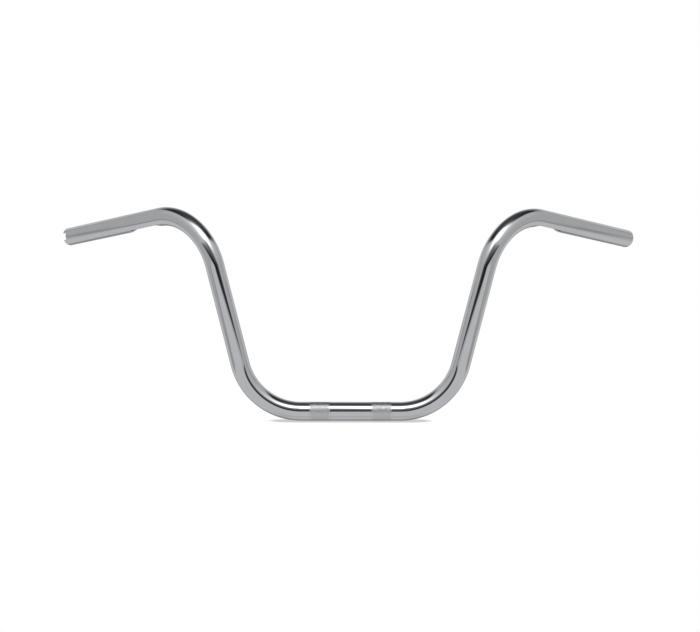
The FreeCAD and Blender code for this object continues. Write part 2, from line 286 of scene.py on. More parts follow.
class Shell:
    """Collects one mesh as grids of points, each with its own shading normals and map places."""

    def __init__(self, fold=None):
        self.fold = fold
        self.points = []
        self.straight = []
        self.plating = []
        self.count = 0
        self.quads = []
        self.normals = []
        self.places = []

    def add_points(self, points, straight, plating, closed=False):
        """Points, the same points with the tube unbent, and how fully each is plated; on a knurled
        band, the knurl's height instead, which sets the painted shade in its grooves.

        Rows are closed if their last point is their first one again.
        """
        plating = np.broadcast_to(plating, points.shape[:-1])
        if closed:
            points, straight, plating = points[:, :-1], straight[:, :-1], plating[:, :-1]
        self.points.append(points.reshape(-1, 3))
        self.straight.append(straight.reshape(-1, 3))
        self.plating.append(plating.reshape(-1))
        ids = np.arange(self.count, self.count + plating.size).reshape(plating.shape)
        self.count += plating.size
        return np.concatenate([ids, ids[:, :1]], axis=1) if closed else ids

    def add_grid(self, ids, normals, places, keep=None):
        """Quads between the rows and columns of a grid of points."""
        near, far = slice(None, -1), slice(1, None)
        corners = [(near, near), (near, far), (far, far), (far, near)]
        chosen = slice(None) if keep is None else keep.reshape(-1)
        lists = ((ids[..., None], self.quads), (normals, self.normals), (places, self.places))
        for values, kept in lists:
            around = np.stack([values[corner] for corner in corners], axis=-2)
            kept.append(around.reshape(-1, 4, values.shape[-1])[chosen])

    def build(self, name):
        points = np.concatenate(self.points)
        quads = np.concatenate(self.quads)[..., 0]
        normals = np.concatenate(self.normals)
        places = np.concatenate(self.places)
        if self.fold:
            places = self.fold(places)
        a, b, c, d = (points[quads[:, i]] for i in range(4))
        facing = np.einsum("ij,ij->i", np.cross(c - a, d - b), normals.sum(axis=1))
        wrong = facing < 0
        for values in (quads, normals, places):
            values[wrong] = values[wrong][:, ::-1]
        mesh = bpy.data.meshes.new(name)
        mesh.from_pydata((points * MM).tolist(), [], quads.tolist())
        mesh.shade_smooth()
        uv = mesh.uv_layers.new(name="OFBake")
        uv.uv.foreach_set("vector", places.reshape(-1).astype(np.float32))
        straight = mesh.attributes.new("straight", "FLOAT_VECTOR", "POINT")
        straight.data.foreach_set("vector", np.concatenate(self.straight).ravel() * MM)
        plating = mesh.attributes.new("plating", "FLOAT", "POINT")
        plating.data.foreach_set("value", np.concatenate(self.plating).ravel())
        shading = normals.reshape(-1, 3)
        shading /= np.linalg.norm(shading, axis=1, keepdims=True)
        mesh.normals_split_custom_set(shading.tolist())
        return add_object(name, mesh)


# How fully the chrome covers the ends, the openings' cut faces from outside to inside, the bore's
# mouths and its edges at the openings, and how far into the bore it thins out.
END_PLATING = 0.9
CUT_PLATING = (0.95, 0.55)
MOUTH_PLATING = 0.55
EDGE_PLATING = 0.25
PLATING_REACH = 9.0

# The tube's map: strips, one above another, with the outer wall's below the bore's.  The cut and
# end faces take a little depth in the places that the openings leave free, and past the ends.
STRIPS = 4
STRIP_LENGTH = TUBE_LENGTH / STRIPS
OUTER_SHARE = 0.8
MAP_MARGIN = 0.012
TURN_MARGIN = 0.02
CUT_MAP_DEPTH = 4.0
FACE_MAP_DEPTH = 2.5


def map_places(lengths, turns, outer):
    """Strips along the tube, whole turns around it, and 1 outside or 0 in the bore."""
    lengths, turns = np.broadcast_arrays(lengths, turns)
    side = np.full(lengths.shape, float(outer))
    return np.stack([lengths / STRIP_LENGTH, turns / (2 * math.pi), side], axis=-1)


def fold_map(places):
    """Where the tube's quads lie on its map: strips of its length, unrolled one above another."""
    along, around, outer = np.moveaxis(places, -1, 0)
    strip = np.clip(np.floor(along.mean(axis=1, keepdims=True)), 0, STRIPS - 1)
    around = around - np.floor(around.mean(axis=1, keepdims=True))
    bottom = (1 - outer) * OUTER_SHARE
    tall = (outer * OUTER_SHARE + (1 - outer) * (1 - OUTER_SHARE)) / STRIPS
    u = MAP_MARGIN + (1 - 2 * MAP_MARGIN) * (along - strip)
    v = bottom + tall * (strip + TURN_MARGIN + (1 - 2 * TURN_MARGIN) * around)
    return np.stack([u, v], axis=-1)


def unbent(lengths, turns, radius):
    lengths, turns = np.broadcast_arrays(lengths, turns)
    radius = np.broadcast_to(radius, lengths.shape)
    return np.stack([lengths, radius * np.cos(turns), radius * np.sin(turns)], axis=-1)


class Tube:
    """The bent tube: outer wall, bore, ends, slots and notches in one closed mesh."""

    def __init__(self):
        self.shell = Shell(fold_map)
        rear = np.array([0.0, 1.0, 0.0])
        down = np.array([0.0, 0.0, -1.0])
        exit_away = down * math.cos(EXIT_SLOT_ROLL) + rear * math.sin(EXIT_SLOT_ROLL)
        exit_size = (EXIT_SLOT_LENGTH, EXIT_SLOT_WIDTH)
        clutch_slot_at = TUBE_LENGTH - CLUTCH_SLOT_FROM_END
        self.slots = [
            self.wire_slot("throttle_slot", THROTTLE_SLOT_FROM_END, THROTTLE_SLOT_LENGTH),
            Opening("exit_slot", TUBE_LENGTH / 2, exit_away, EXIT_SLOT_WINDOW, exit_size),
            self.wire_slot("clutch_slot", clutch_slot_at, CLUTCH_SLOT_LENGTH),
        ]
        along = centre_frame([0.0])[1][0]
        level = unit(np.cross(along, down))
        level = level * math.copysign(1, level @ rear)
        self.notches = [
            Opening("rear_notch", 0.0, level, NOTCH_WINDOW),
            Opening("front_notch", 0.0, -level, NOTCH_WINDOW),
        ]
        self.end_rings = {}

    def wire_slot(self, name, length, slot_length):
        """A slot under a grip, turned a little from straight down towards the rear."""
        along = centre_frame([length])[1][0]
        down = unit(np.array([0, 0, -1]) + along * along[2])
        rear = np.cross(down, along)
        rear = rear * math.copysign(1, rear[1])
        away = down * math.cos(WIRE_SLOT_ROLL) + rear * math.sin(WIRE_SLOT_ROLL)
        return Opening(name, length, away, WIRE_SLOT_WINDOW, (slot_length, WIRE_SLOT_WIDTH))

    def twist(self, lengths):
        """How far the mesh's lines turn around the tube, so that they meet each opening's sides."""
        marks, values = [0.0, NOTCH_DEPTH + 2 * NOTCH_MARGIN], [self.notches[0].twist] * 2
        for slot in self.slots:
            reach = slot.size[0] / 2 + SLOT_MARGIN
            marks += [slot.length - reach - 1, slot.length + reach + 1]
            values += [slot.twist] * 2
        return np.interp(lengths, marks, values)

    def wall_rows(self, outer):
        """Lengths of the wall's rings, with the row where each opening's window starts and ends."""
        step = OUTER_STEP if outer else INNER_STEP
        first = END_ROUNDING if outer else INNER_ROUNDING
        notch_rows = self.notches[0].rows[outer]
        stops = [("notch", first, first + NOTCH_DEPTH + NOTCH_MARGIN, notch_rows)]
        for slot in self.slots:
            reach = slot.size[0] / 2 + SLOT_MARGIN
            start, end = slot.length - reach, slot.length + reach
            stops.append((slot.name, start, end, slot.rows[outer]))
        rows, spans, at = [first], {}, first
        if outer:
            middle = TUBE_LENGTH / 2
            for x in (-BAND_X, BAND_X):
                for edge in (x - BAND_WIDTH / 2, x + BAND_WIDTH / 2):
                    stops.append(("edge", middle + edge, middle + edge, 0))
        stops.sort(key=lambda stop: stop[1])
        stops.append(("end", TUBE_LENGTH - first, TUBE_LENGTH - first, 0))
        for name, start, end, cells in stops:
            if start > at + 1e-6:
                count = max(1, math.ceil((start - at) / step))
                rows += list(np.linspace(at, start, count + 1)[1:])
            if cells:
                spans[name] = (len(rows) - 1, len(rows) - 1 + cells)
                rows += list(np.linspace(start, end, cells + 1)[1:])
            at = end
            if name == "edge":
                spans.setdefault("edges", []).append(len(rows) - 1)
                rows.append(at)
        return np.array(rows), spans

    def add_wall(self, outer):
        """One side of the wall as a grid of rings, with windows left out around the openings."""
        rows, spans = self.wall_rows(outer)
        radius = np.full(len(rows), TUBE_RADIUS if outer else BORE_RADIUS)
        edges = spans.get("edges", [])
        for start, end in zip(edges[::2], edges[1::2]):
            radius[start + 1 : end + 1] = TUBE_RADIUS - BAND_DEPTH
        turns = np.arange(AROUND + 1) * CELL + self.twist(rows)[:, None]
        lengths = np.broadcast_to(rows[:, None], turns.shape)
        points, outward = tube_place(lengths, turns, radius[:, None])
        plating = 1.0 if outer else bore_plating(lengths)
        straight = unbent(lengths, turns, radius[:, None])
        ids = self.shell.add_points(points, straight, plating, closed=True)
        keep = np.ones((len(rows) - 1, AROUND), bool)
        openings = [(slot, spans[slot.name]) for slot in self.slots]
        openings += [(notch, spans["notch"]) for notch in self.notches]
        for opening, (start, end) in openings:
            keep[start:end, opening.columns(outer)] = False
        normals = outward if outer else -outward
        places = map_places(lengths, turns, outer)
        along = centre_frame(rows)[1]
        last = 0
        for edge in edges:
            part = slice(last, edge + 1)
            self.shell.add_grid(ids[part], normals[part], places[part], keep[last:edge])
            step = math.copysign(1, radius[edge] - radius[edge + 1])
            facing = np.broadcast_to(along[edge] * step, normals[edge : edge + 2].shape)
            self.shell.add_grid(ids[edge : edge + 2], facing, places[edge : edge + 2])
            last = edge + 1
        self.shell.add_grid(ids[last:], normals[last:], places[last:], keep[last:])
        self.add_patches(outer, openings, ids, rows)
        self.end_rings[outer] = {"throttle": (ids[0], turns[0]), "clutch": (ids[-1], turns[-1])}

    def add_patches(self, outer, openings, ids, rows):
        """Fill each window up to its opening's rounded edge."""
        twist = self.twist(rows)
        for opening, (start, end) in openings:
            half = opening.half_cells[outer]
            low, high = opening.cell - half, opening.cell + half
            row, column = window_loop(start, end, low, high, opening.closed).T
            border = np.stack([rows[row], column * CELL + twist[row]], axis=1)
            if opening.closed:
                outline = slot_outline(*opening.size, end - start, high - low)
            else:
                outline = notch_outline(rows[0], end - start, high - low)
            self.add_patch(opening, outer, ids[row, column % AROUND], border, outline)

    def add_patch(self, opening, outer, border_ids, border, outline):
        """Rings of cells from a window's border to its opening's rounded edge."""
        radius = TUBE_RADIUS if outer else BORE_RADIUS
        rounding = EDGE_ROUNDING if outer else INNER_ROUNDING
        x, y, normal = outline
        reach_x, reach_y = x + rounding * normal[:, 0], y + rounding * normal[:, 1]
        edge = np.stack(opening.drop(reach_x, reach_y, radius), axis=1)
        if not opening.closed:
            edge[[0, -1], 0] = border[0, 0]
        share = ring_shares()[:, None, None]
        rings = border * (1 - share) + edge * share
        lengths, turns = np.moveaxis(rings, -1, 0)
        points, outward = tube_place(lengths, turns, radius)
        straight = unbent(lengths, turns, radius)
        thin = bore_plating(lengths) + EDGE_PLATING * share[..., 0]
        plating = np.ones(lengths.shape) if outer else thin
        new_ids = self.shell.add_points(points[1:], straight[1:], plating[1:], opening.closed)
        ids = np.concatenate([border_ids[None], new_ids])
        normals = outward if outer else -outward
        self.shell.add_grid(ids, normals, map_places(lengths, turns, outer))
        opening.sides[outer] = {"ids": ids, "rings": rings, "outline": outline}

    def add_opening_walls(self):
        """The cut faces through the wall, between the outer and inner rounded edges."""
        for opening in self.slots + self.notches:
            outer, inner = opening.sides[True], opening.sides[False]
            x, y, normal = outer["outline"]
            inner_x, inner_y, _ = inner["outline"]
            outer_corner = tube_place(*opening.drop(x, y, TUBE_RADIUS), TUBE_RADIUS)[0]
            inner_corner = tube_place(*opening.drop(inner_x, inner_y, BORE_RADIUS), BORE_RADIUS)[0]
            outer_point, outer_away = tube_place(*outer["rings"][-1].T, TUBE_RADIUS)
            inner_point, inner_away = tube_place(*inner["rings"][-1].T, BORE_RADIUS)
            facing = -(normal[:, :1] * opening.along + normal[:, 1:] * opening.sideways)
            outer_wall = outer_corner - EDGE_ROUNDING * opening.away
            inner_wall = inner_corner + INNER_ROUNDING * opening.away
            steps = [1 / 3, 2 / 3, 1.0]
            rows = [outer_point] + [curve(outer_point, outer_corner, outer_wall, t) for t in steps]
            shading = [outer_away] + [outer_away * (1 - t) + facing * t for t in steps]
            rows += [(outer_wall + inner_wall) / 2, inner_wall]
            shading += [facing, facing]
            rows += [curve(inner_wall, inner_corner, inner_point, t) for t in (0.5, 1.0)]
            shading += [(facing - inner_away) / 2, -inner_away]
            rows, shading = np.stack(rows), np.stack(shading)
            if not opening.closed:
                self.square_mouth(opening, rows)
            depth = np.linspace(0, CUT_MAP_DEPTH, len(rows))[:, None]
            place_x = opening.length + x - depth * normal[:, 0]
            place_turn = opening.turn + np.arcsin((y - depth * normal[:, 1]) / TUBE_RADIUS)
            straight = unbent(place_x, place_turn, TUBE_RADIUS - depth)
            plating = np.linspace(*CUT_PLATING, len(rows) - 2)[:, None]
            middle = self.shell.add_points(rows[1:-1], straight[1:-1], plating, opening.closed)
            ids = np.concatenate([outer["ids"][-1:], middle, inner["ids"][-1:]])
            self.shell.add_grid(ids, shading, map_places(place_x, place_turn, True))
            opening.wall_ids = ids

    def square_mouth(self, opening, rows):
        """Bring the cut faces' ends at a notch's mouth on to the rounded end of the tube."""
        for column in (0, -1):
            lateral = (rows[:, column] - opening.origin) @ opening.sideways
            turn = opening.turn + np.arcsin(lateral / END_PROFILE[:, 1])
            rows[:, column] = tube_place(END_PROFILE[:, 0], turn, END_PROFILE[:, 1])[0]

    def add_end(self, side):
        """The rounded end face, around the bore and up to the notches' sides."""
        outer_ids, turns = self.end_rings[True][side]
        inner_ids, _ = self.end_rings[False][side]
        throttle = side == "throttle"
        depth, radius = END_PROFILE[:, :1], END_PROFILE[:, 1:]
        lengths = depth if throttle else TUBE_LENGTH - depth
        points, outward = tube_place(lengths, turns, radius)
        straight = unbent(lengths, turns, radius)
        middle = self.shell.add_points(points[1:-1], straight[1:-1], END_PLATING, closed=True)
        ids = np.concatenate([outer_ids[None], middle, inner_ids[None]])
        keep = np.ones((len(END_PROFILE) - 1, AROUND), bool)
        notches = self.notches if throttle else []
        for notch in notches:
            keep[:, notch.columns(True)] = False
        normals = self.end_normals(lengths, outward, throttle)
        self.shell.add_grid(ids, normals, map_places(self.face_row(throttle), turns, True), keep)
        for notch in notches:
            self.add_end_beside(notch, ids)

    def face_row(self, throttle):
        """The end face's rings, laid side by side just past the outer wall on the map."""
        spread = -np.linspace(0, FACE_MAP_DEPTH, len(END_PROFILE))[:, None]
        return END_ROUNDING + spread if throttle else TUBE_LENGTH - END_ROUNDING - spread

    def end_normals(self, lengths, outward, throttle):
        along = centre_frame(lengths)[1] * (-1 if throttle else 1)
        lean = np.radians(END_LEAN)[:, None, None]
        return outward * np.cos(lean) + along * np.sin(lean)

    def add_end_beside(self, notch, end_ids):
        """The end face between the last whole column and the notch's side."""
        outer, inner = notch.sides[True], notch.sides[False]
        half = notch.half_cells[True]
        shares = ring_shares()
        for column, cell in ((0, notch.cell - half), (-1, notch.cell + half)):
            border = end_ids[:, cell % AROUND]
            wall = notch.wall_ids[:, column]
            lateral = (np.concatenate(self.shell.points)[wall] - notch.origin) @ notch.sideways
            side_turn = notch.turn + np.arcsin(lateral / END_PROFILE[:, 1])
            border_turn = outer["rings"][0][column, 1]
            turns = border_turn * (1 - shares) + side_turn[:, None] * shares
            lengths, radius = END_PROFILE[:, :1], END_PROFILE[:, 1:]
            points, outward = tube_place(lengths, turns, radius)
            straight = unbent(lengths, turns, radius)
            inside = (slice(1, -1), slice(1, -1))
            ids = np.empty(turns.shape, int)
            ids[inside] = self.shell.add_points(points[inside], straight[inside], END_PLATING)
            ids[0] = outer["ids"][:, column]
            ids[-1] = inner["ids"][:, column]
            ids[:, 0] = border
            ids[:, -1] = wall
            normals = self.end_normals(lengths, outward, True)
            self.shell.add_grid(ids, normals, map_places(self.face_row(True), turns, True))

    def build(self):
        self.add_wall(True)
        self.add_wall(False)
        self.add_opening_walls()
        self.add_end("throttle")
        self.add_end("clutch")
        return self.shell.build("bar_tube_chrome")


def curve(start, corner, end, share):
    """A point of the smooth curve that leaves start and reaches end along the lines to a corner."""
    return (1 - share) ** 2 * start + 2 * share * (1 - share) * corner + share**2 * end


def ring_shares():
    """Shares of the way from a window's border to its opening, closer together near the opening."""
    return 1 - (1 - np.linspace(0, 1, PATCH_RINGS + 1)) ** PATCH_CROWDING


def window_loop(start, end, low, high, closed):
    """Grid rows and columns once around a window, or from one side of its mouth to the other."""
    out = [(row, low) for row in range(start, end)]
    out += [(end, column) for column in range(low, high)]
    if closed:
        out += [(row, high) for row in range(end, start, -1)]
        out += [(start, column) for column in range(high, low - 1, -1)]
    else:
        out += [(row, high) for row in range(end, start - 1, -1)]
    return np.array(out)


def bore_plating(lengths):
    """How much chrome reaches into the bore: plating thins out quickly past the open ends."""
    from_end = np.minimum(lengths, TUBE_LENGTH - lengths)
    return MOUTH_PLATING * np.exp(-from_end / PLATING_REACH)


def end_profile():
    """Distance from the tube's end and radius, from the outer wall around to the bore."""
    outer = [(END_ROUNDING, TUBE_RADIUS), (0, TUBE_RADIUS), (0, TUBE_RADIUS - END_ROUNDING)]
    inner = [(0, BORE_RADIUS + INNER_ROUNDING), (0, BORE_RADIUS), (INNER_ROUNDING, BORE_RADIUS)]
    outside = [curve(*np.array(outer), share) for share in (0, 1 / 3, 2 / 3, 1)]
    inside = [curve(*np.array(inner), share) for share in (0, 0.5, 1)]
    return np.array(outside + [(outside[-1] + inside[0]) / 2] + inside)


# The profile, and how far the surface leans at each of its points: 0 faces out of the tube's
# wall, 90 along the tube and 180 into its bore.
END_PROFILE = end_profile()
END_LEAN = np.array([0, 30, 60, 90, 90, 90, 135, 180.0])

# ---- knurled bands ----

# The knurl: grooves that cross all round the band, flattened crests and softened bottoms, which
# run out before the band's plain edges.
KNURLS_AROUND = 66
KNURL_PITCH = 1.4
KNURL_DEPTH = 0.07
KNURL_CREST = 1.6
KNURL_SOFTNESS = 0.12
KNURL_RUN_OUT = 0.6
PLAIN_EDGE = 1.7
STEPS_PER_KNURL = 6
BAND_ROUNDING = 0.2
# How far the band's side faces count as crests, which gives them a little of the grooves' painted
# shade.
BAND_SIDE_CREST_LEVEL = 0.8
SLOPE_STEP = 1e-3

# The band's map: heights of the knurl, of each side's rounding and face, and of the ring's bore.
KNURL_MAP = (0.0, 0.8)
SIDE_MAPS = {-1: (0.84, 0.87, 0.875, 0.905), 1: (0.92, 0.95, 0.955, 0.985)}
BORE_MAP = (0.98, 0.995)


def knurl_height(x, turns):
    """Height of the knurl, from 0 in its grooves to 1 on its crests, which are pressed flat."""
    along = x / KNURL_PITCH
    around = turns * KNURLS_AROUND / (2 * math.pi)

    def groove(value):
        distance = np.abs((value + 0.5) % 1 - 0.5) * 2
        return np.sqrt(distance**2 + KNURL_SOFTNESS**2) - KNURL_SOFTNESS

    height = np.minimum(groove(along + around), groove(along - around)) * KNURL_CREST
    run_out = np.clip((BAND_WIDTH / 2 - PLAIN_EDGE - np.abs(x)) / KNURL_RUN_OUT, 0, 1)
    return 1 - (1 - np.minimum(height, 1)) * run_out


def knurl_radius(x, turns):
    return BAND_RADIUS - KNURL_DEPTH * (1 - knurl_height(x, turns))


def build_band(name, centre_x):
    """A knurled ring around the centre straight, as a closed mesh."""
    shell = Shell()
    half = BAND_WIDTH / 2
    columns = KNURLS_AROUND * STEPS_PER_KNURL
    turns = np.linspace(0, 2 * math.pi, columns + 1)
    rows = round(2 * (half - PLAIN_EDGE) / KNURL_PITCH) * STEPS_PER_KNURL
    knurled = np.linspace(-(half - PLAIN_EDGE), half - PLAIN_EDGE, rows + 1)
    edge = half - BAND_ROUNDING
    x = np.concatenate([[-edge], knurled, [edge]])
    grid_x, grid_turn = np.meshgrid(x, turns, indexing="ij")
    radius = knurl_radius(grid_x, grid_turn)
    small = SLOPE_STEP
    slope_x = (knurl_radius(grid_x + small, grid_turn) - radius) / small
    slope_turn = (knurl_radius(grid_x, grid_turn + small) - radius) / (small * radius)
    outward = np.stack([0 * grid_turn, np.cos(grid_turn), np.sin(grid_turn)], axis=-1)
    sideways = np.stack([0 * grid_turn, -np.sin(grid_turn), np.cos(grid_turn)], axis=-1)
    ahead = np.array([1.0, 0, 0])
    normals = outward - slope_x[..., None] * ahead - slope_turn[..., None] * sideways

    def ring(at_x, at_radius):
        return at_x * ahead + at_radius * outward[0]

    def on_map(low, high, count=2):
        grid = np.meshgrid(turns / (2 * math.pi), np.linspace(low, high, count))
        return np.stack(grid, axis=-1)

    face = grid_x[..., None] * ahead + radius[..., None] * outward
    # The knurl's height fills the plating attribute, and the knurl finish paints shade into the
    # grooves from it.
    face_ids = shell.add_points(face, face, knurl_height(grid_x, grid_turn), closed=True)
    shell.add_grid(face_ids, normals, on_map(*KNURL_MAP, len(x)))
    ring_out = outward[:2]
    bore_ids = []
    for sign, row in ((-1, 0), (1, -1)):
        radii = (BAND_RADIUS - BAND_ROUNDING, TUBE_RADIUS - BAND_DEPTH)
        side = np.stack([ring(sign * half, radius) for radius in radii])
        ids = shell.add_points(side, side, BAND_SIDE_CREST_LEVEL, closed=True)
        bore_ids.append(ids[1])
        facing = np.broadcast_to(sign * ahead, ring_out.shape)
        rounding = np.stack([ring_out[0], facing[0]])
        places = SIDE_MAPS[sign]
        shell.add_grid(np.stack([face_ids[row], ids[0]]), rounding, on_map(*places[:2]))
        shell.add_grid(ids, facing, on_map(*places[2:]))
    shell.add_grid(np.stack(bore_ids), -ring_out, on_map(*BORE_MAP))
    piece = shell.build(name)
    piece.location.x = centre_x * MM
    return piece


# ---- materials ----


class Nodes:
    """A material's node tree, with one short call for each node."""

    def __init__(self, material):
        material.use_nodes = True
        self.tree = material.node_tree
        self.tree.nodes.clear()

    def add(self, kind, inputs=None, **settings):
        node = self.tree.nodes.new(f"ShaderNode{kind}")
        for name, value in settings.items():
            setattr(node, name, value)
        for name, value in (inputs or {}).items():
            self.put(value, node.inputs[name])
        return node

    def put(self, value, socket):
        """Give a socket a value, or join it to another node's output."""
        if isinstance(value, bpy.types.NodeSocket):
            self.tree.links.new(value, socket)
        else:
            socket.default_value = value

    def attribute(self, name, output):
        return self.add("Attribute", attribute_name=name).outputs[output]

    def noise(self, vector, scale, detail=2.0):
        node = self.add("TexNoise", {"Vector": vector, "Scale": scale, "Detail": detail})
        return node.outputs["Fac"]

    def scaled(self, vector, factors):
        node = self.add("VectorMath", {0: vector, 1: factors}, operation="MULTIPLY")
        return node.outputs["Vector"]

    def remap(self, value, low, high, to_low, to_high):
        inputs = {"Value": value, "From Min": low, "From Max": high}
        inputs |= {"To Min": to_low, "To Max": to_high}
        return self.add("MapRange", inputs).outputs["Result"]

    def math(self, operation, first, second):
        return self.add("Math", {0: first, 1: second}, operation=operation).outputs[0]

    def mix(self, share, first, second):
        node = self.add("Mix", {"Factor": share}, data_type="RGBA")
        for socket, value in (("A_Color", first), ("B_Color", second)):
            self.put(value, next(s for s in node.inputs if s.identifier == socket))
        return next(s for s in node.outputs if s.identifier == "Result_Color")

    def metal(self, colour, roughness, bumps):
        """Finish the material as bare metal with fine bumps."""
        bump = self.add("Bump", bumps).outputs["Normal"]
        inputs = {"Base Color": colour, "Metallic": 1.0, "Roughness": roughness, "Normal": bump}
        shader = self.add("BsdfPrincipled", inputs)
        self.add("OutputMaterial", {"Surface": shader.outputs["BSDF"]})


CHROME = (0.735, 0.755, 0.785, 1)
CHROME_WARM = (0.71, 0.725, 0.745, 1)
BARE_STEEL = (0.34, 0.32, 0.30, 1)
DULL_NICKEL = (0.50, 0.48, 0.45, 1)
KNURL_CREST_CHROME = (0.73, 0.75, 0.775, 1)
# Chrome in the knurl's grooves, made darker: painted shade.
KNURL_GROOVE_SHADED_CHROME = (0.62, 0.635, 0.655, 1)


def chrome_material():
    """Mirror chrome on the outside, thinning to dull nickel and bare steel inside the bore."""
    material = bpy.data.materials.new("polished_chrome")
    nodes = Nodes(material)
    place = nodes.attribute("straight", "Vector")
    plating = nodes.attribute("plating", "Fac")
    clouds = nodes.noise(place, 35.0, 3.0)
    smudges = nodes.noise(nodes.scaled(place, (0.4, 1.0, 1.0)), 160.0, 4.0)
    belt_lines = nodes.noise(nodes.scaled(place, (2600.0, 60.0, 60.0)), 1.0, 2.0)
    grain = nodes.noise(place, 900.0, 3.0)
    chrome = nodes.mix(nodes.remap(clouds, 0.35, 0.65, 0, 1), CHROME, CHROME_WARM)
    bare = nodes.mix(nodes.remap(grain, 0.4, 0.62, 0, 1), BARE_STEEL, DULL_NICKEL)
    covered = nodes.remap(plating, 0.2, 0.8, 0, 1)
    colour = nodes.mix(covered, bare, chrome)
    smears = nodes.remap(smudges, 0.45, 0.75, 0.02, 0.05)
    shine = nodes.math("ADD", smears, nodes.remap(belt_lines, 0.3, 0.8, 0.0, 0.02))
    dull = nodes.remap(grain, 0.3, 0.7, 0.38, 0.6)
    roughness = nodes.add(
        "Mix", {"Factor": covered, "A": dull, "B": shine}, data_type="FLOAT"
    ).outputs["Result"]
    height = nodes.math("ADD", nodes.math("MULTIPLY", belt_lines, 0.3), clouds)
    nodes.metal(colour, roughness, {"Strength": 0.25, "Distance": 0.00002, "Height": height})
    return material


def knurl_material():
    """Chrome over the knurl, brightest on its crests, with painted shade darkening it in its
    grooves, where it is also rougher.
    """
    material = bpy.data.materials.new("knurled_chrome")
    nodes = Nodes(material)
    place = nodes.attribute("straight", "Vector")
    # On the bands, the plating attribute holds the knurl's height, from 0 in the grooves to 1 on
    # the crests.
    crest = nodes.attribute("plating", "Fac")
    grain = nodes.noise(place, 2200.0, 3.0)
    clouds = nodes.noise(place, 240.0, 3.0)
    # Knurl height plus clouds: the grooves' darker colour is painted shade, and the clouds add a
    # random mottle.
    groove_shade_and_mottle = nodes.math("ADD", crest, nodes.remap(clouds, 0.3, 0.7, -0.15, 0.15))
    share = nodes.remap(groove_shade_and_mottle, 0.1, 0.9, 0, 1)
    colour = nodes.mix(share, KNURL_GROOVE_SHADED_CHROME, KNURL_CREST_CHROME)
    shine = nodes.remap(groove_shade_and_mottle, 0.0, 1.0, 0.36, 0.27)
    roughness = nodes.math("ADD", shine, nodes.remap(grain, 0.35, 0.65, 0.0, 0.07))
    nodes.metal(colour, roughness, {"Strength": 0.3, "Distance": 0.00003, "Height": grain})
    return material


# ---- studio ----

# The dome in metres, its mesh, and the share of its light that the chrome sends on.
STUDIO_RADIUS = 1.7
STUDIO_CENTRE = (0.0, -0.446, 0.155)
STUDIO_CELLS = (720, 360)
CHROME_SHARE = 0.745
LEAST_FACING = 0.05

# What the chrome reflects, by direction: "aside" is the angle from the front to either side and
# "height" the angle above level, both in degrees.  Tones run from 0 to 255, as they are shown.
# "fade" and its kind are the widths over which an edge goes from one side to the other.
TABLE = Group(tone=178, corner=55, drop=4.1, side_drop=19.4, side_reach=19.7, fade=6)
TABLE_LINE = Group(depth=30, width=3.4, start=52, fade_in=15, end=108, fade_out=5)
TABLE_SHADE = Group(depth=12, below=-67, fade=6, until=130, fade_out=20)
WALLS = Group(side_tone=159, back_tone=180, back_from=6, fade=8)
CORNER = Group(foot=107, foot_height=-2, lean=33 / 31, tall=40)
CORNER_LINE = Group(depth=24, width=2.2, start=-27, fade_in=5, end=30, fade_out=8)
CEILING = Group(tone=66, edge_depth=59.8, edge_width=24.3)
CEILING_EDGE = Group(height=60.9, side=75, front_rise=0.83, fall=28.2, reach=67.5)
CEILING_BACK = Group(height=37.3, power=2.17, fade=8, haze=22, start=149, haze_fade=8)
SOFTBOX = Group(tone=262, core=100, core_power=6, height=65.5, half=0.62, fade=0.7)
SOFTBOX_RISE = Group(start=-0.43, fade_in=0.15, end=0.454, fade_out=0.4)
SOFTBOX_GLOW = Group(tone=12.8, reach=1.9)
DOORWAY = Group(half=64.8, side_fade=2, top=46.9, top_power=0.863, least_top=0.5)
DOORWAY_FOOT = Group(height=0.6, rise=4.4, reach=45, power=0.6, fade=2.8)
DOORWAY_TONE = Group(foot=22, paler=116, start=0.135, power=0.68, end=1.07, fade=0.36)
LOW_SHADE = Group(tone=132, aside=148, fade=5, start=-61, fade_in=8, end=0, fade_out=10)


def step_up(value, middle, width):
    """From 0 to 1 as value passes the middle, over about the width."""
    return 1 / (1 + np.exp(np.clip(-4 * (value - middle) / width, -60, 60)))


def between(value, span):
    """1 from a span's start to its end, and fading to 0 outside it."""
    rising = step_up(value, span.start, span.fade_in)
    return rising * (1 - step_up(value, span.end, span.fade_out))


def bump_at(value, middle, width):
    return np.exp(-(((value - middle) / width) ** 2))


def above(value, floor):
    return np.clip(value - floor, 0, None)


def walls_and_table(aside, height):
    """Pale table below, grey side walls, lighter back wall, and a dark line along each join."""
    edge = -TABLE.drop * np.clip(aside / TABLE.corner, 0, 1) ** 2
    past = above(aside, TABLE.corner) / TABLE.side_reach
    edge -= TABLE.side_drop * (1 - np.exp(-past))
    corner = np.clip(height - CORNER.foot_height, 0, CORNER.tall) * CORNER.lean
    corner += CORNER.foot
    back = step_up(aside, corner + WALLS.back_from, WALLS.fade)
    wall = WALLS.side_tone + (WALLS.back_tone - WALLS.side_tone) * back
    tone = TABLE.tone + (wall - TABLE.tone) * step_up(height, edge, TABLE.fade)
    line = bump_at(height, edge, TABLE_LINE.width) * between(aside, TABLE_LINE)
    tone -= TABLE_LINE.depth * line
    line = bump_at(aside, corner + 1, CORNER_LINE.width) * between(height, CORNER_LINE)
    tone -= CORNER_LINE.depth * line
    shade = step_up(-height, -TABLE_SHADE.below, TABLE_SHADE.fade)
    shade *= 1 - step_up(aside, TABLE_SHADE.until, TABLE_SHADE.fade_out)
    return tone - TABLE_SHADE.depth * shade


